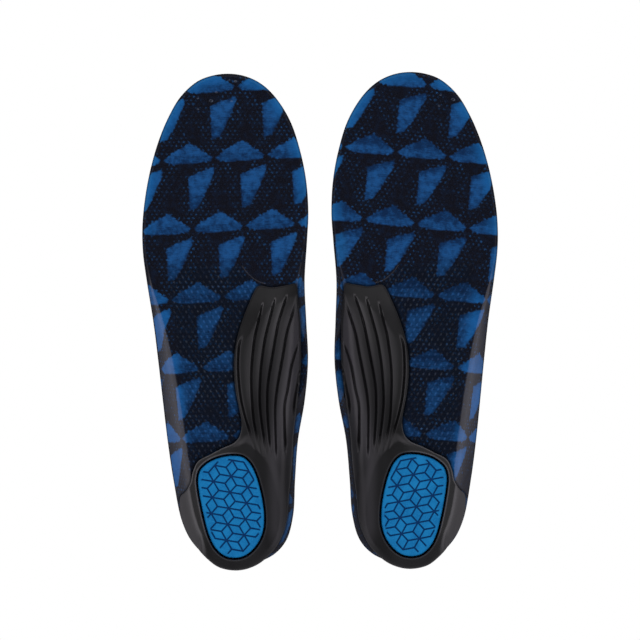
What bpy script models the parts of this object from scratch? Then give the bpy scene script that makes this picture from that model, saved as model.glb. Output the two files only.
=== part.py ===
"""A pair of full-length cushioned insoles, right and left, lying foot side up with the toes towards +Y.

Each insole is a stack of laminated layers over one plan outline:
  top cover   printed knit fabric, foot side
  gel base    clear gel moulding with side walls and a heel cup
  arch shell  black moulding under the arch, running into a ring around the heel
  heel pad    blue gel pad in the ring's opening
The cover and the base bend at the ball of the foot, so each is made as a rear and a front piece
that meet at the oblique flex line.

Frame: metres, +Z up, Z = 0 is the ground under the heel ring and the forefoot.
X = 0 is the plane between the two insoles, the right one at +X. All shapes are worked out in
millimetres for the right insole; the left one is its mirror image.
"""

import math
from types import SimpleNamespace

import bmesh
import bpy
import numpy as np
from mathutils import Vector
from mathutils.geometry import delaunay_2d_cdt

MM = 0.001

# ---- driving dimensions, millimetres ------------------------------------------------
Y_CENTRE = 0.5            # moves the plan so that the pair is centred on Y = 0
INSOLE_ORIGIN_X = 52.5    # insole's own origin, to either side of X = 0
GAP = 0.3                 # clearance between neighbouring layers
COVER_THICKNESS = 1.2
FOREFOOT_TOP = 4.8        # foot side of the forefoot above the ground
HEEL_TOP = 10.0           # foot side of the heel seat above the ground
HEEL_UNDERSIDE = 3.6      # gel base underside over the heel ring
HEEL_RAMP_START = 15.0    # y where the sole and the seat start to rise towards the heel
SOLE_RAMP_END = -62.0     # y where the underside reaches its heel height
SEAT_RAMP_END = -70.0     # y where the foot side reaches its heel height

# Walls
RIM_THICKNESS = 2.2       # height from the underside to the foot side at the wall's top edge
RIM_LAND = 2.2            # width of the cover's level strip inside the outline
BASE_LAND = 1.0           # the same strip on the base/cover interface
INNER_WALL_EXTRA = 3.0    # how much wider the wall's slope is on the foot side than below

# Arch vault and toe spring
ARCH_RISE = 13.0          # medial arch vault above the sole plane
ARCH_CENTRE_Y = -27.0
ARCH_HALF_LENGTH = 60.0
ARCH_LATERAL_X = 62.0     # the vault starts here and rises towards the medial side
ARCH_WIDTH = 52.0
ARCH_POWER = 1.8
TOE_SPRING = 2.5          # rise of the toe tip
TOE_SPRING_START = 95.0
TOE_TIP = 142.0

# Arch shell
SHELL_THICKNESS = 1.8
RING_THICKNESS = 3.3      # shell thickness around the heel pad
RING_THICK_TO = 5.0       # distance from the pad edge where the ring starts to thin
RING_THIN_FROM = 11.0     # distance from the pad edge where it is down to the shell's thickness
RING_FLAT = 4.5           # width of the ring's flat ground face
RING_CURVE = 0.4          # upward curve of the shell's underside outside the flat, per mm
LOBE_TOP = 12.0           # height of the rear lobe behind the heel cup
LOBE_CURVE = 0.35         # downward curve of the lobe's top outside the outline, per mm
LOBE_X = 50.5             # middle of the lobe
LOBE_SIDES = (17.0, 24.0)        # the height limit fades out between these distances from LOBE_X
LOBE_FRONT = (-130.0, -124.0)    # and between these y values
LOBE_RELEASE = 30.0       # how far the faded limit is lifted

# Heel pad and its pocket
PAD_BOTTOM = 0.5
PAD_TOP = 5.0
PAD_AXIS = (52.5, -106.0)
PAD_SIDE_GAP = 0.4        # between the pad and the ring
POCKET_CEILING = 6.8      # hollow in the base that the pad compresses into
POCKET_REACH = 1.0        # distance from the pad edge to where the pocket's side meets the underside

# Flex line across the ball of the foot
FLEX_MEDIAL = np.array((4.0, 57.0))
FLEX_LATERAL = np.array((105.0, 33.0))
FLEX_AXIS_HEIGHT = 5.0

# ---- mesh layout --------------------------------------------------------------------
OUTLINE_COUNT, SHELL_COUNT, PAD_COUNT, RING_FLAT_COUNT = 64, 62, 32, 36
FLEX_SEGMENTS = 9
WALL_RINGS = ((RIM_LAND, 64), (5.0, 56), (9.0, 48))    # (distance in from the outline, points)
WALL_RING_END = 34.0      # the inner wall rings stop here, as only the raised walls need them
WALL_RING_ROOM = 1.7      # least spacing around a wall ring point
GRID_STEP = 12.0
GRID_ROW_RATIO = 0.866    # row spacing over point spacing
GRID_X = (4.0, 104.0)
GRID_Y = (-136.0, 140.0)
GRID_EDGE_DISTANCE = 12.0
GRID_ROOM = 4.5           # least spacing around a grid point
EDGE_TOLERANCE = 0.05     # slack when a point is compared with a loop it lies on
SHARP_ANGLE = math.radians(35)

# ---- measured plan curves, (x, y), all counter-clockwise ----------------------------
# From the heel along the outer side to the toe and back.
OUTLINE = [
    (49.5, -140.0), (60.0, -138.3), (67.3, -134.8), (75.5, -126.4), (81.0, -114.7),
    (85.5, -91.8), (88.7, -68.8), (91.2, -45.9), (93.6, -22.9), (96.2, 0.0),
    (99.6, 22.9), (101.7, 40.0), (101.9, 54.0), (100.5, 68.8), (97.3, 86.0),
    (92.3, 103.2), (86.5, 117.0), (79.3, 129.0), (69.8, 137.6), (61.0, 141.0),
    (51.5, 142.0), (42.5, 140.6), (33.8, 136.6), (25.5, 129.0), (16.6, 114.7),
    (11.0, 97.5), (7.7, 80.3), (6.6, 62.0), (7.5, 45.9), (9.1, 22.9),
    (8.4, 0.0), (7.6, -22.9), (9.7, -45.9), (13.8, -68.8), (15.7, -91.8),
    (17.0, -112.0), (21.0, -126.2), (28.0, -134.2), (37.5, -138.6),
]

# Front edge, medial edge, heel with the rear lobe, lateral wing, back up the lateral edge.
SHELL_EDGE = [
    (35.6, 20.0), (27.5, 19.2), (18.5, 20.6), (14.2, 21.0), (12.9, 10.5),
    (11.8, -1.0), (11.6, -11.5), (11.5, -20.0), (11.9, -30.0), (13.5, -43.0),
    (14.9, -54.0), (16.2, -64.0), (17.0, -77.0), (18.0, -89.0), (19.3, -100.0),
    (20.4, -113.5), (22.6, -121.5), (27.0, -130.0), (35.0, -138.0), (42.0, -141.6),
    (50.0, -143.0), (59.5, -141.2), (66.0, -136.6), (73.7, -128.0), (79.6, -118.0),
    (82.0, -107.5), (81.6, -100.6), (78.6, -97.6), (75.6, -92.5), (74.3, -86.5),
    (71.3, -80.3), (64.0, -76.2), (57.5, -72.8), (51.0, -70.0), (47.6, -66.5),
    (46.2, -61.5), (46.3, -56.0), (47.4, -50.0), (49.0, -42.0), (50.1, -32.0),
    (50.0, -20.0), (48.5, -11.0), (46.4, -3.5), (44.0, 3.5), (41.0, 10.5),
    (38.3, 16.5),
]

# Egg shape, from its front end down the medial side, round the heel and back.
PAD_EDGE = [
    (50.2, -77.2), (45.3, -78.2), (41.4, -81.8), (38.3, -88.0), (35.8, -96.5),
    (34.2, -104.8), (33.6, -112.0), (34.0, -118.8), (36.2, -125.4), (40.4, -131.2),
    (45.8, -134.9), (52.0, -135.7), (57.0, -134.2), (61.8, -129.7), (65.2, -122.8),
    (67.8, -113.2), (69.6, -104.5), (70.9, -96.5), (71.3, -90.6), (69.8, -85.2),
    (64.6, -80.6), (57.4, -77.9),
]

# ---- measured tables along the insole -----------------------------------------------
# Line that parts the lateral side of the outline from the medial side, (y, x)
SPINE = [(-104.0, 50.5), (-60.0, 51.2), (-20.0, 51.0), (20.0, 53.5), (50.0, 54.6), (95.0, 52.6)]

# Height of the wall's top edge along each side, (y, height)
RIM_LATERAL = [
    (-141, 22.0), (-100, 21.5), (-60, 19.0), (-20, 14.0), (8, 8.6), (22, 5.6), (29, 4.8),
    (142, 4.8),
]
RIM_MEDIAL = [
    (-141, 22.0), (-100, 23.0), (-60, 25.0), (-25, 26.0), (5, 20.0), (25, 11.0), (38, 6.3),
    (47, 4.8), (142, 4.8),
]
# How far in from the outline the underside of the wall reaches, (y, width)
WALL_LATERAL = [
    (-141, 9.5), (-110, 10.4), (-90, 10.4), (-60, 10.3), (-25, 8.2), (2, 5.4), (16, 2.6),
    (26, 2.2), (142, 2.2),
]
WALL_MEDIAL = [
    (-141, 9.0), (-100, 9.0), (-60, 11.0), (-25, 13.0), (5, 11.0), (22, 5.0), (34, 2.4),
    (46, 2.2), (142, 2.2),
]
# Bend of the wall's section, 1 for a straight slope, (y, power)
BEND_LATERAL = [(-141, 1.6), (-125, 1.3), (0, 1.25), (30, 1.6), (142, 1.8)]
BEND_MEDIAL = [(-141, 1.6), (-100, 1.7), (142, 1.7)]


# ---- plan curves --------------------------------------------------------------------
def blend(first, second, start, end, t):
    """Straight blend that is first at t = start and second at t = end."""
    return (end - t) / (end - start) * first + (t - start) / (end - start) * second


def closed_curve(stations, per_span):
    """Closed centripetal Catmull-Rom curve through the stations."""
    stations = np.array(stations, float)
    total = len(stations)
    curve = []
    for i in range(total):
        p0, p1, p2, p3 = (stations[(i + k) % total] for k in (-1, 0, 1, 2))
        t0 = 0.0
        t1 = t0 + math.sqrt(np.linalg.norm(p1 - p0))
        t2 = t1 + math.sqrt(np.linalg.norm(p2 - p1))
        t3 = t2 + math.sqrt(np.linalg.norm(p3 - p2))
        for k in range(per_span):
            t = t1 + (t2 - t1) * k / per_span
            before = blend(p0, p1, t0, t1, t)
            middle = blend(p1, p2, t1, t2, t)
            after = blend(p2, p3, t2, t3, t)
            early = blend(before, middle, t0, t2, t)
            late = blend(middle, after, t1, t3, t)
            curve.append(blend(early, late, t1, t2, t))
    return np.array(curve)


def even_spacing(curve, count):
    """The closed curve resampled at equal arc lengths."""
    loop = np.vstack([curve, curve[:1]])
    steps = np.linalg.norm(np.diff(loop, axis=0), axis=1)
    length = np.concatenate([[0.0], np.cumsum(steps)])
    wanted = np.arange(count) * length[-1] / count
    return np.stack([np.interp(wanted, length, loop[:, axis]) for axis in (0, 1)], 1)


def inward(curve):
    """Unit normals of a counter-clockwise closed curve, pointing to its inside."""
    tangent = np.roll(curve, -1, 0) - np.roll(curve, 1, 0)
    tangent = tangent / np.linalg.norm(tangent, axis=1)[:, None]
    return np.stack([-tangent[:, 1], tangent[:, 0]], 1)


def offset(curve, amount, count):
    """The curve resampled and moved by amount, positive inwards."""
    base = even_spacing(curve, count)
    return base + inward(base) * amount


def inside(points, loop):
    """True for each point within the closed loop."""
    x, y = points[:, 0][:, None], points[:, 1][:, None]
    x1, y1 = loop[:, 0][None], loop[:, 1][None]
    x2, y2 = np.roll(x1, -1), np.roll(y1, -1)
    rise = np.where(y2 == y1, 1e-12, y2 - y1)
    crosses = ((y1 > y) != (y2 > y)) & (x < (x2 - x1) * (y - y1) / rise + x1)
    return crosses.sum(1) % 2 == 1


def distance(points, loop):
    """Distance of each point to the closed loop."""
    start = loop[None]
    point = points[:, None]
    edge = np.roll(loop, -1, 0)[None] - start
    share = ((point - start) * edge).sum(-1) / np.maximum((edge * edge).sum(-1), 1e-12)
    nearest = start + edge * np.clip(share, 0, 1)[..., None]
    return np.sqrt(((point - nearest) ** 2).sum(-1)).min(1)


def signed(points, loop):
    """Distance to the loop, positive inside it."""
    return np.where(inside(points, loop), 1.0, -1.0) * distance(points, loop)


def smoothstep(start, end, x):
    t = np.clip((x - start) / (end - start), 0, 1)
    return t * t * (3 - 2 * t)


def from_table(table, y):
    stations = np.array(table, float)
    return np.interp(y, stations[:, 0], stations[:, 1])


def along_outline(lateral, medial):
    """Table values at each fine outline point, evened out where the two sides meet."""
    x, y = OUTLINE_FINE[:, 0], OUTLINE_FINE[:, 1]
    is_lateral = x > from_table(SPINE, y)
    values = np.where(is_lateral, from_table(lateral, y), from_table(medial, y))
    for _ in range(4):
        values = sum(np.roll(values, k) for k in range(-4, 5)) / 9
    return values


OUTLINE_FINE = closed_curve(OUTLINE, 12)
SHELL_FINE = closed_curve(SHELL_EDGE, 6)
PAD_FINE = closed_curve(PAD_EDGE, 8)
RIM_FINE = along_outline(RIM_LATERAL, RIM_MEDIAL)
WALL_FINE = along_outline(WALL_LATERAL, WALL_MEDIAL)
BEND_FINE = along_outline(BEND_LATERAL, BEND_MEDIAL)


# ---- heights ------------------------------------------------------------------------
def toe_spring(y):
    return TOE_SPRING * np.clip((y - TOE_SPRING_START) / (TOE_TIP - TOE_SPRING_START), 0, 1) ** 2


def arch_vault(x, y):
    along = np.clip(1 - np.abs((y - ARCH_CENTRE_Y) / ARCH_HALF_LENGTH), 0, 1)
    along = np.sin(along * math.pi / 2) ** 2
    across = np.clip((ARCH_LATERAL_X - x) / ARCH_WIDTH, 0, 1) ** ARCH_POWER
    return ARCH_RISE * along * across


def dished(seat, rim, depth, land, width):
    """Surface level with the rim over the land, then falling to the seat over the width."""
    return seat + (rim - seat) * np.clip(1 - np.maximum(depth - land, 0) / width, 0, 1) ** 2


def laminate(points):
    """Heights of the underside, the base/cover interface and the foot side at plan points."""
    x, y = points[:, 0], points[:, 1]
    depth = np.maximum(signed(points, OUTLINE_FINE), 0)
    nearest = ((points[:, None] - OUTLINE_FINE[None]) ** 2).sum(-1).argmin(1)
    rim = RIM_FINE[nearest] + toe_spring(y)
    wall = WALL_FINE[nearest]
    lift = arch_vault(x, y) + toe_spring(y)
    sole = HEEL_UNDERSIDE * smoothstep(HEEL_RAMP_START, SOLE_RAMP_END, y) + lift
    seat_ramp = smoothstep(HEEL_RAMP_START, SEAT_RAMP_END, y)
    seat = FOREFOOT_TOP + (HEEL_TOP - FOREFOOT_TOP) * seat_ramp + lift

    wall_share = np.clip(1 - depth / wall, 0, 1) ** BEND_FINE[nearest]
    under = sole + (rim - RIM_THICKNESS - sole) * wall_share
    inner_width = wall + INNER_WALL_EXTRA
    top = dished(seat, rim, depth, RIM_LAND, inner_width)
    between = dished(seat - COVER_THICKNESS, rim - COVER_THICKNESS, depth, BASE_LAND, inner_width)
    return under, between, top


def steepness(points):
    """Length factor of the underside's slope, to turn a thickness into a height."""
    reach = 0.4
    limit = 2.5
    squared = 1
    for step in ([reach, 0], [0, reach]):
        slope = (laminate(points + step)[0] - laminate(points - step)[0]) / (2 * reach)
        squared = squared + slope * slope
    return np.minimum(np.sqrt(squared), limit)


# ---- one shared plan triangulation --------------------------------------------------
def spaced(candidates, fixed, guides, room):
    """The candidates that keep clear of the fixed points, the guide curves and each other."""
    def nearest(points, candidate):
        return np.min(np.hypot(*(points - candidate).T))

    kept = []
    for candidate in candidates:
        if nearest(fixed, candidate) < room or nearest(guides, candidate) < room * 0.8:
            continue
        if kept and nearest(np.array(kept), candidate) < room:
            continue
        kept.append(candidate)
    return kept


def wall_ring_points(fixed, guides):
    """Rows of points that follow the outline and carry the wall's section."""
    points = []
    for amount, count in WALL_RINGS:
        ring = offset(OUTLINE_FINE, amount, count)
        if amount > RIM_LAND:
            ring = ring[ring[:, 1] < WALL_RING_END]
        points += spaced(ring, fixed, guides, WALL_RING_ROOM)
    return points


def grid_points():
    """Staggered grid over the inner part of the outline."""
    grid = []
    row = 0
    y = GRID_Y[0]
    while y < GRID_Y[1]:
        stagger = GRID_STEP / 2 if row % 2 else 0
        grid += [(x, y) for x in np.arange(GRID_X[0] + stagger, GRID_X[1], GRID_STEP)]
        y += GRID_STEP * GRID_ROW_RATIO
        row += 1
    grid = np.array(grid)
    return grid[signed(grid, OUTLINE_FINE) > GRID_EDGE_DISTANCE]


def build_plan():
    """Triangulated plan, the layers' regions in it, and the laminate's heights at its points."""
    outline = even_spacing(OUTLINE_FINE, OUTLINE_COUNT)
    shell = even_spacing(SHELL_FINE, SHELL_COUNT)
    pad = even_spacing(PAD_FINE, PAD_COUNT)
    opening = offset(PAD_FINE, -PAD_SIDE_GAP, PAD_COUNT)
    pocket = offset(PAD_FINE, -POCKET_REACH, PAD_COUNT)
    ring_flat = offset(PAD_FINE, -RING_FLAT, RING_FLAT_COUNT)

    points, edges = [], []
    for loop in (outline, shell, pad, opening, pocket, ring_flat):
        start = len(points)
        points += list(loop)
        edges += [(start + i, start + (i + 1) % len(loop)) for i in range(len(loop))]
    flex = FLEX_LATERAL - FLEX_MEDIAL
    start = len(points)
    points += [FLEX_MEDIAL + flex * k / FLEX_SEGMENTS for k in range(FLEX_SEGMENTS + 1)]
    edges += [(start + i, start + i + 1) for i in range(FLEX_SEGMENTS)]

    flex_guide = np.linspace(FLEX_MEDIAL, FLEX_LATERAL, 60)
    guides = np.vstack([flex_guide, OUTLINE_FINE, SHELL_FINE, PAD_FINE, ring_flat, pocket])
    points += wall_ring_points(np.array(points), guides)
    points += spaced(grid_points(), np.array(points), guides, GRID_ROOM)

    corners = [Vector(point) for point in points]
    verts, _, faces, _, _, _ = delaunay_2d_cdt(corners, edges, [], 0, 1e-5)
    verts = np.array([(v.x, v.y) for v in verts])
    faces = [tuple(face) for face in faces]
    centres = np.array([verts[list(face)].mean(0) for face in faces])

    toeward = np.array([-flex[1], flex[0]])
    toeward = toeward / np.linalg.norm(toeward)
    on_flex = np.abs((verts - FLEX_MEDIAL) @ toeward) < 1e-4
    under, between, top = laminate(verts)
    return SimpleNamespace(
        verts=verts,
        faces=faces,
        in_outline=inside(centres, outline),
        in_shell=inside(centres, shell),
        in_pad=inside(centres, pad),
        in_opening=inside(centres, opening),
        in_front=(centres - FLEX_MEDIAL) @ toeward > 0,
        flex_shift=np.where(on_flex[:, None], toeward * GAP / 2, 0.0),
        pad_distance=-signed(verts, PAD_FINE),    # outwards from the pad edge
        under=under,
        between=between,
        top=top,
    )


def slab(plan, chosen, low, high, shift):
    """Closed solid over the chosen plan triangles, between two height fields."""
    chosen_faces = [face for face, is_chosen in zip(plan.faces, chosen) if is_chosen]
    used = sorted({i for face in chosen_faces for i in face})
    index = {vert: k for k, vert in enumerate(used)}
    total = len(used)
    flat = (plan.verts + shift)[used]
    points = [(*flat[k], field[vert]) for field in (low, high) for k, vert in enumerate(used)]
    polys, directed = [], []
    for face in chosen_faces:
        p, q, r = plan.verts[list(face)]
        turn = (q[0] - p[0]) * (r[1] - p[1]) - (q[1] - p[1]) * (r[0] - p[0])
        face = face if turn > 0 else face[::-1]
        polys.append(tuple(index[i] + total for i in face))
        polys.append(tuple(index[i] for i in face[::-1]))
        directed += [(face[0], face[1]), (face[1], face[2]), (face[2], face[0])]
    # An edge without its opposite lies on the boundary and gets a side wall.
    present = set(directed)
    for i, j in directed:
        if (j, i) not in present:
            polys.append((index[i], index[j], index[j] + total, index[i] + total))
    return points, polys


# ---- layers: lower and upper height field of each -----------------------------------
def cover_heights(plan):
    return plan.between + GAP / 2, plan.top


def base_heights(plan):
    over_pad = plan.pad_distance < POCKET_REACH - EDGE_TOLERANCE
    low = np.where(over_pad, np.maximum(plan.under, POCKET_CEILING), plan.under)
    return low, plan.between - GAP / 2


def shell_heights(plan):
    x, y = plan.verts[:, 0], plan.verts[:, 1]
    slope = steepness(plan.verts)
    out = plan.pad_distance

    thinning = smoothstep(RING_THIN_FROM, RING_THICK_TO, out)
    thickness = SHELL_THICKNESS + (RING_THICKNESS - SHELL_THICKNESS) * thinning
    on_flat = out <= RING_FLAT + EDGE_TOLERANCE
    ring = np.where(on_flat, 0.0, RING_CURVE * (out - RING_FLAT) ** 2)
    low = np.maximum(np.minimum(plan.under - (GAP + thickness) * slope, ring), 0.0)

    # Behind the heel cup the top is held down to the lobe, and rounded off past the outline.
    beside = smoothstep(*LOBE_SIDES, np.abs(x - LOBE_X))
    ahead = smoothstep(*LOBE_FRONT, y)
    limit = LOBE_TOP + LOBE_RELEASE * beside + LOBE_RELEASE * ahead
    high = np.minimum(plan.under - GAP * slope, limit)
    depth = signed(plan.verts, OUTLINE_FINE)
    lobe = np.minimum(high, LOBE_TOP - LOBE_CURVE * depth ** 2)
    return low, np.where(depth < 0, lobe, high)


def pad_heights(plan):
    total = len(plan.verts)
    return np.full(total, PAD_BOTTOM), np.full(total, PAD_TOP)


# ---- materials ----------------------------------------------------------------------
def material(name, colour, roughness, coat=0.0):
    mat = bpy.data.materials.new(name)
    mat.use_nodes = True
    bsdf = mat.node_tree.nodes["Principled BSDF"]
    bsdf.inputs["Base Color"].default_value = (*colour, 1.0)
    bsdf.inputs["Roughness"].default_value = roughness
    bsdf.inputs["Coat Weight"].default_value = coat
    mat.diffuse_color = (*colour, 1.0)
    return mat


def build_materials():
    return SimpleNamespace(
        knit=material("printed_knit", colour=(0.03, 0.12, 0.28), roughness=0.85),
        gel=material("clear_gel", colour=(0.05, 0.17, 0.35), roughness=0.25, coat=1.0),
        shell=material("black_shell", colour=(0.02, 0.02, 0.021), roughness=0.42),
        pad=material("blue_gel", colour=(0.02, 0.2, 0.5), roughness=0.45),
    )


# ---- objects ------------------------------------------------------------------------
def axis_empty(name, location, direction=None, parent=None):
    """Empty at a place in metres, its X axis along the direction if one is given."""
    empty = bpy.data.objects.new(name, None)
    bpy.context.scene.collection.objects.link(empty)
    empty.empty_display_size = 0.02
    empty.location = location
    if direction is not None:
        empty.rotation_mode = "QUATERNION"
        empty.rotation_quaternion = Vector((1, 0, 0)).rotation_difference(Vector(direction))
    if parent is not None:
        bpy.context.view_layer.update()
        world = empty.matrix_world.copy()
        empty.parent = parent
        empty.matrix_parent_inverse = parent.matrix_world.inverted()
        empty.matrix_world = world
    return empty


def to_scene(point, side):
    """Scene place in metres of a right insole point, mirrored when side is -1."""
    x, y, z = point
    return Vector((side * x * MM, (y + Y_CENTRE) * MM, z * MM))


def solid(name, points, polys, side, mat, parent):
    """Mesh object whose origin sits on its parent empty."""
    bpy.context.view_layer.update()
    origin = parent.matrix_world.translation.copy()
    mesh = bpy.data.meshes.new(name)
    if side < 0:
        polys = [poly[::-1] for poly in polys]
    mesh.from_pydata([to_scene(point, side) - origin for point in points], [], polys)
    mesh.update()
    bm = bmesh.new()
    bm.from_mesh(mesh)
    bmesh.ops.triangulate(bm, faces=[face for face in bm.faces if len(face.verts) > 3])
    bmesh.ops.recalc_face_normals(bm, faces=bm.faces)
    bm.to_mesh(mesh)
    bm.free()
    mesh.materials.append(mat)
    mesh.shade_smooth()
    mesh.set_sharp_from_angle(angle=SHARP_ANGLE)
    obj = bpy.data.objects.new(name, mesh)
    bpy.context.scene.collection.objects.link(obj)
    obj.parent = parent
    obj.matrix_parent_inverse = parent.matrix_world.inverted()
    obj.location = origin


def flex_axis(name, side, parent):
    middle = (FLEX_MEDIAL + FLEX_LATERAL) / 2
    direction = FLEX_LATERAL - FLEX_MEDIAL
    direction = direction / np.linalg.norm(direction)
    # Both insoles' axes run towards +X, so toes-up turns the same way in each.
    return axis_empty(name, to_scene((*middle, FLEX_AXIS_HEIGHT), side),
                      (direction[0], side * direction[1], 0.0), parent)


def build_insole(prefix, side, plan, mats):
    root = axis_empty(prefix + "_insole", (side * INSOLE_ORIGIN_X * MM, 0.0, 0.0))
    flex = flex_axis(prefix + "_flex_axis", side, root)
    pad_place = to_scene((*PAD_AXIS, PAD_BOTTOM), side)
    pad_axis = axis_empty(prefix + "_pad_axis", pad_place, parent=root)

    def put(name, chosen, layer, mat, holder, shift=0.0):
        points, polys = slab(plan, chosen, *layer, shift)
        solid(f"{prefix}_{name}", points, polys, side, mat, holder)

    rear = plan.in_outline & ~plan.in_front
    front = plan.in_outline & plan.in_front
    for name, layer, mat in (
        ("top_cover", cover_heights(plan), mats.knit),
        ("gel_base", base_heights(plan), mats.gel),
    ):
        put(name + "_rear", rear, layer, mat, root, -plan.flex_shift)
        put(name + "_front", front, layer, mat, flex, plan.flex_shift)
    ring_and_arch = plan.in_shell & ~plan.in_opening
    put("arch_shell", ring_and_arch, shell_heights(plan), mats.shell, root)
    put("heel_pad", plan.in_pad, pad_heights(plan), mats.pad, pad_axis)


def main():
    for obj in list(bpy.data.objects):
        bpy.data.objects.remove(obj)
    mats = build_materials()
    plan = build_plan()
    build_insole("right", 1.0, plan, mats)
    build_insole("left", -1.0, plan, mats)


main()
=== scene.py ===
"""Pair of cushioned insoles: printed knit covers, clear gel bases, fluted arch shells, heel pads.

The insoles lie foot side up with their toes towards +Y, the right one on +X and the left one
mirrored on -X. All shapes are drawn for the right insole in millimetres: x runs from the medial
(inner) side to the lateral (outer) side, y from heel to toes and z up from the floor.
"""

import math

import bpy
import numpy as np
from mathutils import Matrix, Vector
from mathutils.geometry import delaunay_2d_cdt


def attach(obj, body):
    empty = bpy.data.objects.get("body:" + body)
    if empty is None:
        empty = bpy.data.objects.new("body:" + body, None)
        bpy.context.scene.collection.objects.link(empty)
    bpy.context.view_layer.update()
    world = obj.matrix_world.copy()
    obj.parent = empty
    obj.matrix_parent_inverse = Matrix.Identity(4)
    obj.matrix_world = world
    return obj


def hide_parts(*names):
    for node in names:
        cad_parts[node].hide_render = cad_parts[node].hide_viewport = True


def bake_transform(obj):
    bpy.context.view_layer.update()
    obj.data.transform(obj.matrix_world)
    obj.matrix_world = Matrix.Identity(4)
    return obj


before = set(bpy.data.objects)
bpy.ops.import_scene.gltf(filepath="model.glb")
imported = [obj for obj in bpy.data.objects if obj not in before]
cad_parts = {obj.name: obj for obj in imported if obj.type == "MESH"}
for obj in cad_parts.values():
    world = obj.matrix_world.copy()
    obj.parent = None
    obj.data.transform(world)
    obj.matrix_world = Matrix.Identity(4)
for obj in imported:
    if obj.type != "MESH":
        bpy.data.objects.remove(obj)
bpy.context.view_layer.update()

MM = 0.001
Y_CENTRE = 0.5                      # shift of the drawn plan along Y
SIDES = {"right": 1.0, "left": -1.0}

# ---- laminate: gel base and knit cover ----
COVER_THICKNESS = 1.2
FOREFOOT_TOP = 4.8
HEEL_TOP = 10.0
HEEL_UNDERSIDE = 3.6
RIM_EDGE = 2.2                      # height of the outer edge at the rim
ARCH_RISE = 13.0
TOE_SPRING = 2.5
POCKET_CEILING = 6.8                # underside of the gel base over the heel pad
POCKET_STEP = (0.9, 1.6)            # inner and outer loop of the pocket's slope, out from the pad
POCKET_REACH = 1.45                 # the ceiling holds out to here from the pad
LAMINATE_SPACING = 1.8
LAMINATE_RINGS = (0.12, 0.35, 0.7, 1.1, 1.7, 2.3, 3.1, 4.1, 5.3, 6.8, 8.5, 10.5, 12.8)
SHELL_JOINT_RINGS = (0.4, -0.3, -0.9, -1.5)

# ---- arch shell ----
SHELL_THICKNESS = 1.8
RING_THICKNESS = 3.3                # of the shell round the heel pad
RING_FLAT = 4.5                     # width of the ring's flat underside, from the pad
LOBE_TOP = 12.0                     # where the shell reaches out beyond the heel
SHELL_RINGS = (0.15, 0.35, 0.65, 1.1, 1.6)
SHELL_OPENING_RINGS = (-1.15, -1.4, -1.75, -2.2, -3.0, -3.8, -4.5, -5.3)
FLUTE_ROWS = (-1.3, -0.95, -0.6, -0.3, 0.3, 0.6, 0.95, 1.3)

# ---- heel pad ----
PAD_BOTTOM = 0.5
PAD_TOP = 5.0
PAD_SIDE_GAP = 1.0
PAD_RINGS = (0.2, 0.5, 0.9, 1.4)
PAD_BORDER = 2.0                    # plain border outside the grooves
GROOVE_ROWS = (-0.55, -0.25, 0.25, 0.55)
GROOVE_DEPTH = 0.6

# Plan outlines: (x, y) points, counterclockwise for the first, closed
OUTLINE = [
    (49.5, -140.0), (60.0, -138.3), (67.3, -134.8), (75.5, -126.4), (81.0, -114.7),
    (85.5, -91.8), (88.7, -68.8), (91.2, -45.9), (93.6, -22.9), (96.2, 0.0),
    (99.6, 22.9), (101.7, 40.0), (101.9, 54.0), (100.5, 68.8), (97.3, 86.0),
    (92.3, 103.2), (86.5, 117.0), (79.3, 129.0), (69.8, 137.6), (61.0, 141.0),
    (51.5, 142.0), (42.5, 140.6), (33.8, 136.6), (25.5, 129.0), (16.6, 114.7),
    (11.0, 97.5), (7.7, 80.3), (6.6, 62.0), (7.5, 45.9), (9.1, 22.9),
    (8.4, 0.0), (7.6, -22.9), (9.7, -45.9), (13.8, -68.8), (15.7, -91.8),
    (17.0, -112.0), (21.0, -126.2), (28.0, -134.2), (37.5, -138.6),
]
SHELL_EDGE = [
    (35.6, 20.0), (27.5, 19.2), (18.5, 20.6), (14.2, 21.0), (12.9, 10.5),
    (11.8, -1.0), (11.6, -11.5), (11.5, -20.0), (11.9, -30.0), (13.5, -43.0),
    (14.9, -54.0), (16.2, -64.0), (17.0, -77.0), (18.0, -89.0), (19.3, -100.0),
    (20.4, -113.5), (22.6, -121.5), (27.0, -130.0), (35.0, -138.0), (42.0, -141.6),
    (50.0, -143.0), (59.5, -141.2), (66.0, -136.6), (73.7, -128.0), (79.6, -118.0),
    (82.0, -107.5), (81.6, -100.6), (78.6, -97.6), (75.6, -92.5), (74.3, -86.5),
    (71.3, -80.3), (64.0, -76.2), (57.5, -72.8), (51.0, -70.0), (47.6, -66.5),
    (46.2, -61.5), (46.3, -56.0), (47.4, -50.0), (49.0, -42.0), (50.1, -32.0),
    (50.0, -20.0), (48.5, -11.0), (46.4, -3.5), (44.0, 3.5), (41.0, 10.5),
    (38.3, 16.5),
]
PAD_EDGE = [
    (50.2, -77.2), (45.3, -78.2), (41.4, -81.8), (38.3, -88.0), (35.8, -96.5),
    (34.2, -104.8), (33.6, -112.0), (34.0, -118.8), (36.2, -125.4), (40.4, -131.2),
    (45.8, -134.9), (52.0, -135.7), (57.0, -134.2), (61.8, -129.7), (65.2, -122.8),
    (67.8, -113.2), (69.6, -104.5), (70.9, -96.5), (71.3, -90.6), (69.8, -85.2),
    (64.6, -80.6), (57.4, -77.9),
]
# Line between the medial and the lateral half: (y, x)
SPINE = [(-104.0, 50.5), (-60.0, 51.2), (-20.0, 51.0), (20.0, 53.5), (50.0, 54.6), (95.0, 52.6)]
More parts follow.
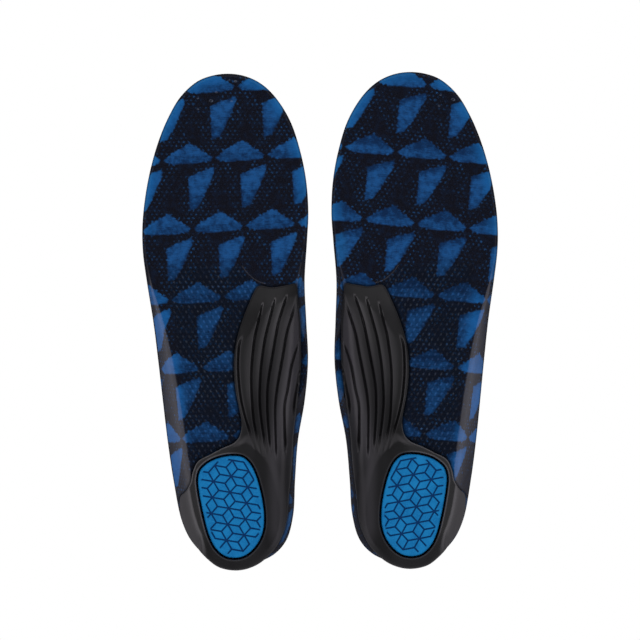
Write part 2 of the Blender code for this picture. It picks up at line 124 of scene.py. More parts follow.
# Rim height: (y, z)
RIM_LATERAL = [
    (-141, 22.0), (-100, 21.5), (-60, 19.0), (-20, 14.0), (8, 8.6), (22, 5.6), (29, 4.8),
    (142, 4.8),
]
RIM_MEDIAL = [
    (-141, 22.0), (-100, 23.0), (-60, 25.0), (-25, 26.0), (5, 20.0), (25, 11.0), (38, 6.3),
    (47, 4.8), (142, 4.8),
]
# Plan width of the rising side wall: (y, width)
WALL_LATERAL = [
    (-141, 9.5), (-110, 10.4), (-90, 10.4), (-60, 10.3), (-25, 8.2), (2, 5.4), (16, 2.6),
    (26, 1.6), (142, 1.4),
]
WALL_MEDIAL = [
    (-141, 9.0), (-100, 9.0), (-60, 11.0), (-25, 13.0), (4, 10.6), (14, 6.2), (23, 3.4),
    (32, 2.2), (42, 1.5), (142, 1.4),
]
# Exponent of the wall's curve: (y, exponent)
BEND_LATERAL = [(-141, 1.6), (-125, 1.3), (0, 1.25), (30, 1.6), (142, 1.8)]
BEND_MEDIAL = [(-141, 1.6), (-100, 1.7), (142, 1.7)]

# Flutes of the arch plate: (x, y) from the front end back to the heel
FLUTES = [
    [(45.0, -8.4), (47.1, -14.4), (47.7, -28.7), (46.5, -43.0), (44.7, -52.2),
     (42.5, -60.2), (39.4, -70.4), (37.2, -77.5)],
    [(32.2, 14.2), (36.2, -1.7), (38.1, -9.7), (39.9, -24.7), (40.3, -35.6),
     (39.9, -46.5), (39.3, -55.6), (37.6, -65.6), (34.8, -77.5)],
    [(25.4, 15.6), (30.2, -2.3), (32.4, -11.5), (34.4, -24.7), (35.3, -35.6),
     (35.6, -46.5), (34.7, -57.4), (33.2, -68.2), (31.6, -77.5)],
    [(18.8, 16.4), (23.8, 1.1), (25.5, -6.3), (27.5, -17.2), (30.7, -35.6),
     (31.3, -46.5), (31.0, -57.4), (29.4, -76.5)],
    [(14.6, 9.2), (19.4, -6.3), (21.5, -17.2), (25.5, -39.0), (26.7, -49.9),
     (26.7, -61.4), (26.2, -80.5)],
    [(12.9, -12.0), (16.9, -25.2), (19.4, -39.0), (21.3, -48.2), (21.5, -59.1), (20.9, -77.0)],
    [(11.9, -25.2), (14.1, -37.3), (15.8, -46.5), (16.5, -57.4)],
]
# Painted sheen, a paler streak on the shell: its middle (y, x), and its reach on the wall side (y,
# width)
SHEEN_MIDDLE = [
    (-122, 27), (-102, 27), (-85, 27.5), (-68, 26), (-56, 24), (-39, 20), (-22, 17), (-5, 15),
    (12, 14),
]
SHEEN_WALL_REACH = [(-122, 3.2), (-80, 4.2), (-50, 7.5), (-20, 12.0)]
SHEEN_PLATE_REACH = 3.8

# Raised line (x, y) in front of the shell, at the end of the embossed midfoot zone
ZONE_LINE = [
    (44.6, 31.2), (42.4, 28.2), (39.6, 25.4), (36.4, 23.1), (33.4, 21.9), (31.6, 21.5),
]
ZONE_ROWS = (-0.28, -0.13, 0.0, 0.13, 0.28)
# Front end of the embossed zone: (x, y)
EMBOSS_FRONT = [
    (20, 18.0), (29, 19.5), (33.0, 20.3), (36.4, 21.7), (39.8, 24.3), (43.0, 27.7),
    (45.8, 31.0), (52.0, 34.0), (70.0, 38.0), (95.0, 34.0),
]
# Embossed pips: leaning ovals on a staggered lattice
PIP_CENTRE = (50.0, -40.0)
PIP_STEP = (3.4, 2.85)
PIP_RADII = (1.35, 0.72)
PIP_HEIGHT = 0.2
PIP_LEAN = math.radians(28)
PIP_ALONG = np.array([math.sin(PIP_LEAN), math.cos(PIP_LEAN)])
PIP_ACROSS = np.array([math.cos(PIP_LEAN), -math.sin(PIP_LEAN)])

# Tumbling-blocks grooves of the pad: one star point and two steps of its lattice
STAR = np.array([53.0, -98.1])
STEP_P = np.array([0.75, -9.17])
STEP_Q = np.array([-10.15, 2.87])

# The print's UV map: its unit in millimetres, and for each cloth the UV of the plan's origin
# and the turn of the cloth in degrees
PRINT_UNIT = 0.5735
ROLL = 0.54                         # turn of the camera, shared by the print
PRINT_LAY = {
    "right": ((320.8, 319.5), -ROLL),
    "left": ((112.604, 337.79835), -ROLL - 8.4),
}


# ---- plan curves ----
def between(first, second, start, end, at):
    """Point at parameter `at` on the line from first (at start) to second (at end)."""
    return (end - at) / (end - start) * first + (at - start) / (end - start) * second


def closed_curve(stations, per_span=12):
    """Centripetal Catmull-Rom loop through the stations."""
    p = np.array(stations, float)
    n = len(p)
    out = []
    for i in range(n):
        corners = p[i - 1], p[i], p[(i + 1) % n], p[(i + 2) % n]
        knots = [0.0]
        for a, b in zip(corners, corners[1:]):
            knots.append(knots[-1] + math.sqrt(np.linalg.norm(b - a)))
        for k in range(per_span):
            t = knots[1] + (knots[2] - knots[1]) * k / per_span
            level = list(corners)
            for span in (1, 2):
                level = [
                    between(level[j], level[j + 1], knots[j], knots[j + span], t)
                    for j in range(len(level) - 1)
                ]
            out.append(between(level[0], level[1], knots[1], knots[2], t))
    return np.array(out)


def open_curve(stations, spacing):
    """Catmull-Rom line through the stations at about the given spacing."""
    p = np.array(stations, float)
    p = np.vstack([2 * p[0] - p[1], p, 2 * p[-1] - p[-2]])
    out = []
    for i in range(1, len(p) - 2):
        before, here, after, beyond = p[i - 1], p[i], p[i + 1], p[i + 2]
        n = max(2, int(np.linalg.norm(after - here) / spacing))
        for k in range(n):
            t = k / n
            out.append(0.5 * (2 * here + (after - before) * t
                              + (2 * before - 5 * here + 4 * after - beyond) * t * t
                              + (3 * here - before - 3 * after + beyond) * t ** 3))
    out.append(p[-2])
    return np.array(out)


def counterclockwise(loop):
    x, y = loop[:, 0], loop[:, 1]
    area = (x * (np.roll(y, -1) - np.roll(y, 1))).sum()
    return loop if area > 0 else loop[::-1]


def even_spacing(curve, count):
    loop = np.vstack([curve, curve[:1]])
    step = np.linalg.norm(np.diff(loop, axis=0), axis=1)
    along = np.concatenate([[0.0], np.cumsum(step)])
    want = np.arange(count) * along[-1] / count
    return np.stack([np.interp(want, along, loop[:, 0]), np.interp(want, along, loop[:, 1])], 1)


def respaced(curve, spacing):
    length = np.linalg.norm(np.roll(curve, -1, 0) - curve, axis=1).sum()
    return even_spacing(curve, int(length / spacing))


def inward(loop):
    """Unit normals into a counterclockwise loop."""
    d = np.roll(loop, -1, 0) - np.roll(loop, 1, 0)
    d = d / np.linalg.norm(d, axis=1)[:, None]
    return np.stack([-d[:, 1], d[:, 0]], 1)


def offset(curve, amount, spacing):
    """The loop moved inwards by an amount, or outwards by a negative one."""
    base = respaced(curve, spacing)
    return base + inward(base) * amount


def offsets(curve, amounts, spacing):
    return np.vstack([offset(curve, amount, spacing) for amount in amounts])


def parallels(line, amounts):
    """Copies of an open line, moved sideways by each amount."""
    d = np.gradient(line, axis=0)
    normal = np.stack([-d[:, 1], d[:, 0]], 1) / np.linalg.norm(d, axis=1)[:, None]
    return [line + normal * amount for amount in amounts]


# ---- distances and blends ----
def inside(points, loop, block=4000):
    x1, y1 = loop[:, 0][None], loop[:, 1][None]
    x2, y2 = np.roll(loop[:, 0], -1)[None], np.roll(loop[:, 1], -1)[None]
    run = np.where(y2 == y1, 1e-12, y2 - y1)
    out = []
    for i in range(0, len(points), block):
        x, y = points[i:i + block, 0][:, None], points[i:i + block, 1][:, None]
        cross = ((y1 > y) != (y2 > y)) & (x < (x2 - x1) * (y - y1) / run + x1)
        out.append(cross.sum(1) % 2 == 1)
    return np.concatenate(out)


def to_segments(points, a, b, block=3000):
    """Distance to the nearest of the segments a-b, that segment's index and the share along it."""
    distance = np.empty(len(points))
    index = np.empty(len(points), int)
    share = np.empty(len(points))
    ab = (b - a)[None]
    squared = np.maximum((ab * ab).sum(-1), 1e-12)
    for i in range(0, len(points), block):
        p = points[i:i + block][:, None]
        t = np.clip(((p - a[None]) * ab).sum(-1) / squared, 0, 1)
        d = np.sqrt(((p - a[None] - ab * t[..., None]) ** 2).sum(-1))
        nearest = d.argmin(1)
        row = np.arange(len(nearest))
        distance[i:i + block] = d[row, nearest]
        index[i:i + block] = nearest
        share[i:i + block] = t[row, nearest]
    return distance, index, share


def to_loop(points, loop):
    return to_segments(points, loop, np.roll(loop, -1, 0))


def to_line(points, line):
    return to_segments(points, line[:-1], line[1:])


def signed(points, loop):
    """Distance to the loop, positive inside it."""
    return np.where(inside(points, loop), 1.0, -1.0) * to_loop(points, loop)[0]


def smoothstep(start, end, x):
    t = np.clip((x - start) / (end - start), 0, 1)
    return t * t * (3 - 2 * t)


def soft_min(a, b, width):
    h = np.clip(0.5 + 0.5 * (b - a) / width, 0, 1)
    return b * (1 - h) + a * h - width * h * (1 - h)


def round_edge(d, radius):
    """Height lost at distance d in from a rounded edge."""
    t = np.clip(d, 0, radius)
    return radius - np.sqrt(np.maximum(radius ** 2 - (radius - t) ** 2, 0))


def from_table(table, at):
    t = np.array(table, float)
    return np.interp(at, t[:, 0], t[:, 1])


OUTLINE_FINE = closed_curve(OUTLINE)
SHELL_FINE = counterclockwise(closed_curve(SHELL_EDGE, 8))
PAD_FINE = counterclockwise(closed_curve(PAD_EDGE, 10))


# ---- heights of the laminate ----
def wall_tables():
    """Rim height, wall width and wall bend at each point of the outline."""
    x, y = OUTLINE_FINE[:, 0], OUTLINE_FINE[:, 1]
    outer = x > from_table(SPINE, y)
    out = []
    for lateral, medial in ((RIM_LATERAL, RIM_MEDIAL), (WALL_LATERAL, WALL_MEDIAL),
                            (BEND_LATERAL, BEND_MEDIAL)):
        values = np.where(outer, from_table(lateral, y), from_table(medial, y))
        for _ in range(4):
            values = sum(np.roll(values, k) for k in range(-4, 5)) / 9
        out.append(values)
    return out


WALL_TABLES = wall_tables()


def toe_spring(y):
    return TOE_SPRING * np.clip((y - 95) / 47, 0, 1) ** 2


def lift(x, y):
    """Rise of the arch on the medial side, and of the toes."""
    along = np.clip(1 - np.abs(y + 27) / 60.0, 0, 1)
    along = np.sin(along * math.pi / 2) ** 2
    across = np.clip((62 - x) / 52, 0, 1) ** 1.8
    return ARCH_RISE * along * across + toe_spring(y)


def sole_height(points):
    """Underside without its walls."""
    x, y = points[:, 0], points[:, 1]
    return HEEL_UNDERSIDE * smoothstep(15, -62, y) + lift(x, y)


def seat_height(points):
    """Foot side without its walls."""
    x, y = points[:, 0], points[:, 1]
    return FOREFOOT_TOP + (HEEL_TOP - FOREFOOT_TOP) * smoothstep(15, -70, y) + lift(x, y)


def heights(points):
    """Underside, base/cover interface, foot side, and the distance in from the outline."""
    distance, index, share = to_loop(points, OUTLINE_FINE)
    d = np.where(inside(points, OUTLINE_FINE), distance, 0.0)
    following = (index + 1) % len(OUTLINE_FINE)
    rim, wall, bend = (t[index] * (1 - share) + t[following] * share for t in WALL_TABLES)
    rim = rim + toe_spring(points[:, 1])
    sole, seat = sole_height(points), seat_height(points)
    under = sole + (rim - RIM_EDGE - sole) * np.clip(1 - d / wall, 0, 1) ** bend
    inner = wall + 3

    def dished(floor_z, rim_z, lip):
        rise = np.clip(1 - np.maximum(d - lip, 0) / inner, 0, 1) ** 2
        return floor_z + (rim_z - floor_z) * rise

    top = dished(seat, rim, lip=2.2)
    interface = dished(seat - COVER_THICKNESS, rim - COVER_THICKNESS, lip=1.0)
    return under, interface, top, d


def steepness(points, step=0.3):
    """Length of the sloping underside for each unit of plan, at most 2.5."""
    gx, gy = (
        (heights(points + move)[0] - heights(points - move)[0]) / (2 * step)
        for move in (np.array([step, 0]), np.array([0, step]))
    )
    return np.minimum(np.sqrt(1 + gx * gx + gy * gy), 2.5)


# ---- plan meshes ----
def plan_mesh(loops, lines, points):
    """Triangulation of the plan that keeps every loop and line as edges."""
    corners, edges = [], []
    for path, closed in [(p, True) for p in loops] + [(p, False) for p in lines]:
        start, n = len(corners), len(path)
        corners += [tuple(p) for p in path]
        edges += [(start + i, start + (i + 1) % n) for i in range(n if closed else n - 1)]
    corners += [tuple(p) for p in points]
    verts, _, faces, _, _, _ = delaunay_2d_cdt([Vector(p) for p in corners], edges, [], 0, 1e-4)
    return np.array([(v.x, v.y) for v in verts]), [tuple(f) for f in faces]


def hex_grid(low, high, step):
    rows = []
    y, k = low[1], 0
    while y < high[1]:
        x = np.arange(low[0] + (step / 2 if k % 2 else 0), high[0], step)
        rows.append(np.stack([x, np.full(len(x), y)], 1))
        y += step * 0.866
        k += 1
    return np.vstack(rows)


def slab(verts, faces, chosen, low, high):
    """Closed solid between two heights over the chosen plan triangles.

    Returns points, polygons, each point's plan vertex and whether it is on the upper side.
    """
    used = sorted({i for f, c in zip(faces, chosen) if c for i in f})
    index = {v: k for k, v in enumerate(used)}
    n = len(used)
    points = np.vstack([np.column_stack([verts[used], z[used]]) for z in (low, high)])
    polygons, directed = [], set()
    for f, c in zip(faces, chosen):
        if not c:
            continue
        a, b, c = verts[list(f)][:3]
        turn = (b[0] - a[0]) * (c[1] - a[1]) - (b[1] - a[1]) * (c[0] - a[0])
        f = f if turn > 0 else f[::-1]
        polygons.append(tuple(index[i] + n for i in f))
        polygons.append(tuple(index[i] for i in f[::-1]))
        directed.update(((f[0], f[1]), (f[1], f[2]), (f[2], f[0])))
    for i, j in directed:
        if (j, i) not in directed:
            polygons.append((index[i], index[j], index[j] + n, index[i] + n))
    return points, polygons, np.array(used + used), np.arange(2 * n) >= n


def centres(verts, faces):
    return verts[np.array(faces)].mean(1)


# ---- laying the print ----
def print_uv(points, side):
    """UV of plan points. The two cloths are laid at a small angle to each other."""
    (u, v), degrees = PRINT_LAY[side]
    turn = math.radians(degrees)
    x = -points[:, 0] / PRINT_UNIT * SIDES[side]
    y = -(points[:, 1] + Y_CENTRE) / PRINT_UNIT
    return np.stack([u + x * math.cos(turn) - y * math.sin(turn),
                     v + x * math.sin(turn) + y * math.cos(turn)], 1)


def unroll(points, z, reference):
    """Plan points moved outwards by the extra length of their wall, against stretching."""
    index = to_loop(points, OUTLINE_FINE)[1]
    rise = np.maximum(z - reference, 0)
    return points - inward(OUTLINE_FINE)[index] * (rise * 0.75)[:, None]


# ---- node trees ----
class Signal:
    """Node output that takes arithmetic, each step adding one Math or Vector Math node."""

    def __init__(self, net, socket):
        self.net, self.socket = net, socket

    def step(self, operation, *values):
        scalar = self.socket.type == "VALUE"
        return (self.net.math if scalar else self.net.vector)(operation, *values)

    def __add__(self, other):
        return self.step("ADD", self, other)

    def __sub__(self, other):
        return self.step("SUBTRACT", self, other)

    def __rsub__(self, other):
        return self.step("SUBTRACT", other, self)

    def __mul__(self, other):
        return self.step("MULTIPLY", self, other)

    def at_least(self, other):
        return self.step("MAXIMUM", self, other)

    def at_most(self, other):
        return self.step("MINIMUM", self, other)

    def linear(self, gain, offset):
        return self.step("MULTIPLY_ADD", self, gain, offset)

    def dot(self, other):
        return self.net.vector("DOT_PRODUCT", self, other)

    def length(self):
        return self.net.vector("LENGTH", self)


class Net:
    """Short-hand for building a node tree."""

    def __init__(self, tree):
        self.nodes, self.links = tree.nodes, tree.links

    def fill(self, node, inputs):
        """Link or set a node's inputs, given by index or name; None leaves one as it is."""
        for key, value in inputs.items():
            if isinstance(value, Signal):
                self.links.new(value.socket, node.inputs[key])
            elif value is not None:
                node.inputs[key].default_value = value

    def add(self, kind, inputs=None, **settings):
        node = self.nodes.new("ShaderNode" + kind)
        for key, value in settings.items():
            setattr(node, key, value)
        self.fill(node, inputs or {})
        return node

    def source(self, kind, output=0, inputs=None, **settings):
        """One output of a new node."""
        return Signal(self, self.add(kind, inputs, **settings).outputs[output])

    def principled(self, inputs):
        self.fill(self.nodes["Principled BSDF"], inputs)

    def math(self, operation, *values, clamp=False):
        inputs = dict(enumerate(values))
        return self.source("Math", 0, inputs, operation=operation, use_clamp=clamp)

    def vector(self, operation, *values, scale=None):
        inputs = dict(enumerate(values)) | {"Scale": scale}
        output = "Value" if operation in ("DOT_PRODUCT", "LENGTH") else "Vector"
        return self.source("VectorMath", output, inputs, operation=operation)

    def ramp(self, value, over, to=(0.0, 1.0)):
        """Smooth step from to[0] to to[1] as the value goes from over[0] to over[1]."""
        inputs = dict(enumerate((value, *over, *to)))
        return self.source("MapRange", 0, inputs, interpolation_type="SMOOTHSTEP")

    def mix(self, factor, a, b, mode="MIX"):
        inputs = {"Factor": factor, "A": a, "B": b}
        node = self.add("Mix", inputs, data_type="RGBA", blend_type=mode)
        return Signal(self, next(o for o in node.outputs if o.type == "RGBA"))

    def noise(self, vector, scale, detail=2.0, rough=0.5, output=0):
        inputs = {"Vector": vector, "Scale": scale, "Detail": detail, "Roughness": rough}
        return self.source("TexNoise", output, inputs)

    def seen_from_below(self, least):
        """1 squarely from below, less seen aslant, and the given least share from above."""
        incoming = self.source("NewGeometry", "Incoming")
        z = self.source("SeparateXYZ", "Z", {0: incoming})
        side_share = 0.35
        aslant = self.ramp(z, over=(-0.97, -0.62), to=(1.0, side_share))
        return aslant * self.ramp(z, over=(-0.30, 0.02), to=(1.0, least / side_share))

    def attribute(self, name):
        return self.source("Attribute", "Fac", attribute_name=name)

    def bump(self, height, strength, distance, normal=None):
        inputs = {"Strength": strength, "Distance": distance, "Height": height, "Normal": normal}
        return self.source("Bump", 0, inputs)


def new_material(name):
    material = bpy.data.materials.new(name)
    material.use_nodes = True
    return material, Net(material.node_tree)


def rgb(*triple):
    """Linear colour of an sRGB 0-255 triple."""
    def linear(c):
        c /= 255.0
        return c / 12.92 if c <= 0.04045 else ((c + 0.055) / 1.055) ** 2.4
    return (*map(linear, triple), 1.0)


# ---- print ----
# It repeats on a skewed lattice, with one flat triangle and one tall kite to a cell. Places and
# sizes are in the UV map's units.
CELL_A = (52.0, -2.9)
CELL_B = (-21.8, 71.0)
CELL_START = (214.07, 156.1)
KITE_START = (CELL_START[0] + CELL_A[0], CELL_START[1] + CELL_A[1])
# Convex shapes: start point, shift of the cell's corner in shares of its steps, and corners
# from the start point. The band and the core stay free of dots.
PRINT_SHAPES = {
    "triangle": (CELL_START, (-0.005, -0.5), [
        (1.5, -0.3), (10.6, -8.2), (28.0, -18.0), (46.8, -6.2), (50.3, -3.3), (48.5, 0.4),
        (40.5, 2.2), (10.6, 4.1), (5.2, 2.8)]),
    "kite": (KITE_START, (-0.64, -0.03), [
        (-26.0, 18.6), (-16.0, 14.8), (-5.0, 9.5), (-0.6, 9.2), (0.8, 12.0), (-1.4, 19.6),
        (-10.2, 39.6), (-16.0, 50.0), (-24.2, 53.0)]),
    "band": (CELL_START, (-0.02, -0.35), [
        (-3.0, 1.0), (50.0, 0.0), (52.0, 8.0), (40.0, 12.5), (28.0, 17.5), (25.5, 21.0),
        (21.0, 15.0), (5.0, 9.5)]),
    "core": (CELL_START, (0.0, -0.75), [
        (28.3, -41.0), (37.5, -28.0), (44.0, -17.0), (36.0, -13.0), (28.0, -18.5),
        (23.5, -21.0)]),
}
DOT_PITCH = (4.9, 7.6)
# Tiny bubbles in the gel of the toes, drawn as painted glint rings: place and size
BUBBLES = [
    ((216.2, 90.5), 1.5), ((197.8, 96.6), 1.3), ((211.0, 99.2), 2.3), ((231.6, 99.6), 1.3),
    ((198.0, 107.4), 1.5), ((235.4, 79.6), 1.8), ((229.3, 78.4), 1.2),
]
# Pairs of colours that a texture blends between
BLUES = rgb(18, 43, 76), rgb(32, 83, 135)
BLACKS = rgb(14, 16, 22), rgb(30, 28, 36)
BLACK_CLOUD = rgb(22, 27, 40)
DOT_BLUES = rgb(24, 48, 76), rgb(38, 80, 122)
# pale specks are painted glints; dark specks are random dark flecks
PAINTED_GLINT_SPECK, DARK_SPECK = rgb(74, 80, 94), rgb(10, 13, 20)


def cell_position(net, uv, start, shift):
    """Position relative to start within the repeating cell, whose corner is shifted."""
    (ax, ay), (bx, by) = CELL_A, CELL_B
    area = ax * by - bx * ay
    corner = (start[0] + shift[0] * ax + shift[1] * bx,
              start[1] + shift[0] * ay + shift[1] * by, 0.0)
    d = uv - corner
    along_a = net.math("FRACT", d.dot((by / area, -bx / area, 0.0)))
    along_b = net.math("FRACT", d.dot((-ay / area, ax / area, 0.0)))
    place = (net.vector("SCALE", (ax, ay, 0.0), scale=along_a)
             + net.vector("SCALE", (bx, by, 0.0), scale=along_b))
    return place + (corner[0] - start[0], corner[1] - start[1], 0.0)


def polygon(place, corners):
    """Distance inside a convex polygon, negative outside."""
    centre = np.mean(corners, axis=0)
    depth = None
    for i, p in enumerate(corners):
        q = corners[(i + 1) % len(corners)]
        normal = np.array([-(q[1] - p[1]), q[0] - p[0]], float)
        normal /= np.linalg.norm(normal)
        if np.dot(centre - p, normal) < 0:
            normal = -normal
        d = place.dot((normal[0], normal[1], 0.0)) - float(np.dot(normal, p))
        depth = d if depth is None else depth.at_most(d)
    return depth


def dot_row(net, uv, shift, seed):
    """One set of the mesh's dots: their uneven strength, and their even weave."""
    pitch_x, pitch_y = DOT_PITCH
    cell = (uv + (*shift, 0.0)) * (1 / pitch_x, 1 / pitch_y, 0.0)
    off_centre = net.vector("FRACTION", cell) - (0.5, 0.5, 0.0)
    radius = (off_centre * (pitch_x, pitch_y, 0.0)).length()
    number = net.vector("FLOOR", cell) + (seed, seed, seed)
    chance = net.source("TexWhiteNoise", "Value", {"Vector": number}, noise_dimensions="3D")
    strength = chance.linear(gain=0.8, offset=0.2)
    return net.ramp(radius, over=(1.5, 0.25)) * strength, net.ramp(radius, over=(2.2, 0.2))


def print_colour(net, uv):
    """The print's colour, and the share of blue shape in it.

    Blue shapes lie on black ground with a dotted mesh.
    """
    half = (0.5, 0.5, 0.5)
    wobble = net.noise(uv, scale=0.22, detail=3.0, output="Color")
    wavy = uv + net.vector("SCALE", wobble - half, scale=2.6) * (1.0, 1.0, 0.0)
    place, depths = {}, {}
    for name, (start, shift, corners) in PRINT_SHAPES.items():
        place[name] = cell_position(net, wavy, start, shift)
        depths[name] = polygon(place[name], corners)
    triangle, kite = depths["triangle"], depths["kite"]

    plain = net.ramp(depths["band"].at_least(depths["core"]), over=(-1.0, 1.6))
    # the corners of neighbouring triangles meet in a plain black knot
    knot = cell_position(net, wavy, CELL_START, (-0.5, -0.5)) - (-0.1, 0.6, 0.0)
    knot = (knot * (0.75, 1.0, 0.0)).length()
    plain = plain.at_least(net.ramp(knot, over=(6.2, 3.8)))

    # dotted mesh of two interleaved rows
    jitter = net.noise(uv, scale=0.45, detail=1.0, output="Color")
    jittered = wavy + (jitter - half) * (3.0, 2.4, 0.0)
    dots, weave = dot_row(net, jittered, (0, 0), seed=0.37)
    more_dots, more_weave = dot_row(
        net, jittered, (DOT_PITCH[0] / 2, DOT_PITCH[1] / 2), seed=7.37)
    dots, weave = dots.at_least(more_dots), weave.at_least(more_weave)
    patch = net.ramp(net.noise(uv, scale=0.075), over=(0.34, 0.62))
    dots = dots * ((1.0 - plain) * patch.linear(gain=0.8, offset=0.2))

    # the shapes dissolve into the mesh: their edge draws back between dots, reaches out on them
    depth = triangle.at_least(kite)
    dots = dots * net.ramp(depth, over=(-13.0, -2.0), to=(0.62, 1.12))
    ragged = weave.linear(gain=1.5, offset=-0.55) * (1.0 - plain)
    ragged = ragged * net.ramp(kite - triangle, over=(-2.0, 2.0), to=(1.0, 0.35))
    blue = net.ramp(depth + ragged, over=(-0.9, 1.3))

    # tone of the blue: weighted streaks, clouds and threads, then weave and kite corrections
    streak = net.noise(uv * (0.14, 1.3, 0.0), scale=1.0, detail=3.0, rough=0.6)
    mottle = net.noise(uv, scale=0.16, detail=3.0, rough=0.6)
    thread = net.noise(uv * (0.9, 2.6, 0.0), scale=1.0, rough=0.6)
    tone = streak * 0.35 + mottle * 0.45 + thread * 0.20
    tone = tone + (weave - 0.4) * net.ramp(depth, over=(4.5, 0.0), to=(0.0, 0.07))
    tone = tone + net.ramp(kite, over=(0.0, 5.0), to=(-0.02, 0.03))

    left = net.attribute("left")
    right = 1.0 - left

    def fold(name, across, offset, on_right, on_left):
        """Folded look: a change of tone across a line of the shape, other on each insole."""
        height = place[name].dot(across) + offset
        change = net.ramp(height, **on_right) * right + net.ramp(height, **on_left) * left
        return change * net.ramp(depths[name], over=(-0.5, 0.5))

    tone = tone + fold("triangle", across=(0.062, 0.998, 0.0), offset=1.9,
                       on_right={"over": (-3.5, 0.5), "to": (0.066, 0.010)},
                       on_left={"over": (-5.0, 1.5), "to": (-0.045, 0.04)})
    tone = tone + fold("kite", across=(0.347, 0.938, 0.0), offset=-8.4,
                       on_right={"over": (14.0, 22.0), "to": (0.042, -0.025)},
                       on_left={"over": (2.0, 8.0), "to": (-0.045, 0.025)})
    blue_colour = net.mix(net.ramp(tone, over=(0.39, 0.65)), *BLUES)

    grain = net.ramp(net.noise(uv, scale=1.3), over=(0.35, 0.7))
    black = net.mix(grain, *BLACKS)
    black = net.mix(net.ramp(mottle, over=(0.45, 0.65)), black, BLACK_CLOUD)
    dot_colour = net.mix(net.ramp(mottle, over=(0.35, 0.65)), *DOT_BLUES)
    colour = net.mix(blue, net.mix(dots, black, dot_colour), blue_colour)
    speck = net.noise(uv, scale=0.95, detail=3.0, rough=0.75)
    # painted glints: pale specks over the print
    colour = net.mix(net.ramp(speck, over=(0.56, 0.78), to=(0.0, 0.30)), colour, PAINTED_GLINT_SPECK)
    colour = net.mix(net.ramp(speck, over=(0.44, 0.24), to=(0.0, 0.55)), colour, DARK_SPECK)
    return colour, blue


# ---- materials ----
def gel_base_material():
    """Clear glossy gel over the print."""
    painted_glow_blue, shadow, highlight = rgb(26, 100, 160), rgb(10, 20, 32), rgb(98, 106, 120)
    bubble_glint, edge_shade, joint_shadow = rgb(120, 126, 140), rgb(8, 9, 13), rgb(5, 7, 11)
    material, net = new_material("clear_gel_over_print")
    uv = net.source("UVMap", uv_map="print")
    colour, blue = print_colour(net, uv)
    zone, pip, edge, painted_glow, matt, joint = (
        net.attribute(name) for name in ("embossed", "pip", "edge", "painted_glow", "matt", "joint"))
    fine = net.noise(uv, scale=0.9, detail=3.0, rough=0.6)
    surface = net.bump(net.noise(uv, scale=0.08), strength=0.2, distance=0.0006)
    surface = net.bump(fine, strength=0.05, distance=0.0002, normal=surface)
    # painted glow makes the print brighter at the thin rim of the toes and on the lateral wall
    colour = net.mix(painted_glow * (blue * 0.62), colour, painted_glow_blue)
    # painted shade darkens the print between the pips
    pip_gap_shade = net.math("MULTIPLY", zone, 0.45 - pip * 0.9, clamp=True)
    colour = net.mix(pip_gap_shade, colour, shadow)
    # painted highlights on the pips, uneven and weaker over blue
    uneven = net.ramp(net.noise(uv, scale=0.35), over=(0.30, 0.68))
    lit = pip * uneven.linear(gain=0.28, offset=0.05) * blue.linear(gain=-0.45, offset=1.0)
    lit = lit * net.ramp(net.noise(uv, scale=0.045), over=(0.36, 0.58), to=(0.35, 1.1))
    colour = net.mix(lit, colour, highlight)
    # painted glints: a pale ring round each bubble
    for (u, v), size in BUBBLES:
        reach = ((uv - (u, v, 0.0)) * (0.9, 1.3, 0.0)).length()
        rim = net.ramp(reach, over=(size, size * 0.6)) * net.ramp(reach, over=(0.0, size * 0.6))
        colour = net.mix(rim * uneven.linear(gain=0.4, offset=0.08), colour, bubble_glint)
    # painted shade: a dark line along the outline of the gel
    colour = net.mix(edge * 0.7, colour, edge_shade)
    # painted shadow on the gel beside the shell's edge
    colour = net.mix(joint * 0.75, colour, joint_shadow)
    dull = edge.at_least(matt).at_least(joint * 0.8) * 0.92
    net.principled({
        "Base Color": colour,
        "Roughness": 0.6,
        "Specular IOR Level": 0.0,
        "Coat Weight": (1.0 - dull) * net.seen_from_below(least=0.3),
        "Coat Tint": rgb(235, 243, 255),
        "Coat Roughness": fine.linear(gain=0.08, offset=0.05),
        "Coat IOR": 1.48,
        "Coat Normal": surface,
        "Normal": surface,
    })
    return material


def knit_material():
    """Printed knit on the foot side."""
    wale_pitch, course_pitch = 2.0, 1.5     # of the knit's columns and rows, in UV units
    material, net = new_material("printed_knit_cover")
    uv = net.source("UVMap", uv_map="print")
    colour, _ = print_colour(net, uv)
    edge = net.attribute("edge")

    def wave_across(cycles):
        phase = uv.dot((cycles, 0.0, 0.0)).linear(gain=2 * math.pi, offset=0.0)
        return net.math("SINE", phase)

    wale = wave_across(1 / wale_pitch)
    lean = wave_across(0.5 / wale_pitch) * 0.9
    course = net.math("SINE", uv.dot((0.0, 1 / course_pitch, 0.0)) * (2 * math.pi) + lean)
    loops = wale.linear(gain=0.5, offset=0.5) * course.linear(gain=0.5, offset=0.5)
    fuzz = net.noise(uv, scale=2.2, detail=3.0, rough=0.7)
    normal = net.bump(loops, strength=0.7, distance=0.00035)
    normal = net.bump(fuzz, strength=0.3, distance=0.0002, normal=normal)
    # painted light and shade on the knit's loops: darker between them, lighter on top
    shade = loops.linear(gain=0.45, offset=0.72)
    loop_shade_colour = net.source("CombineColor", 0, {0: shade, 1: shade, 2: shade})
    colour = net.mix(1.0, colour, loop_shade_colour, "MULTIPLY")
    net.principled({
        "Base Color": net.mix(edge * 0.85, colour, rgb(14, 15, 20)),
        "Roughness": fuzz.linear(gain=0.15, offset=0.75),
        "Specular IOR Level": 0.18,
        "Sheen Weight": 0.12,
        "Sheen Roughness": 0.5,
        "Normal": normal,
    })
    return material


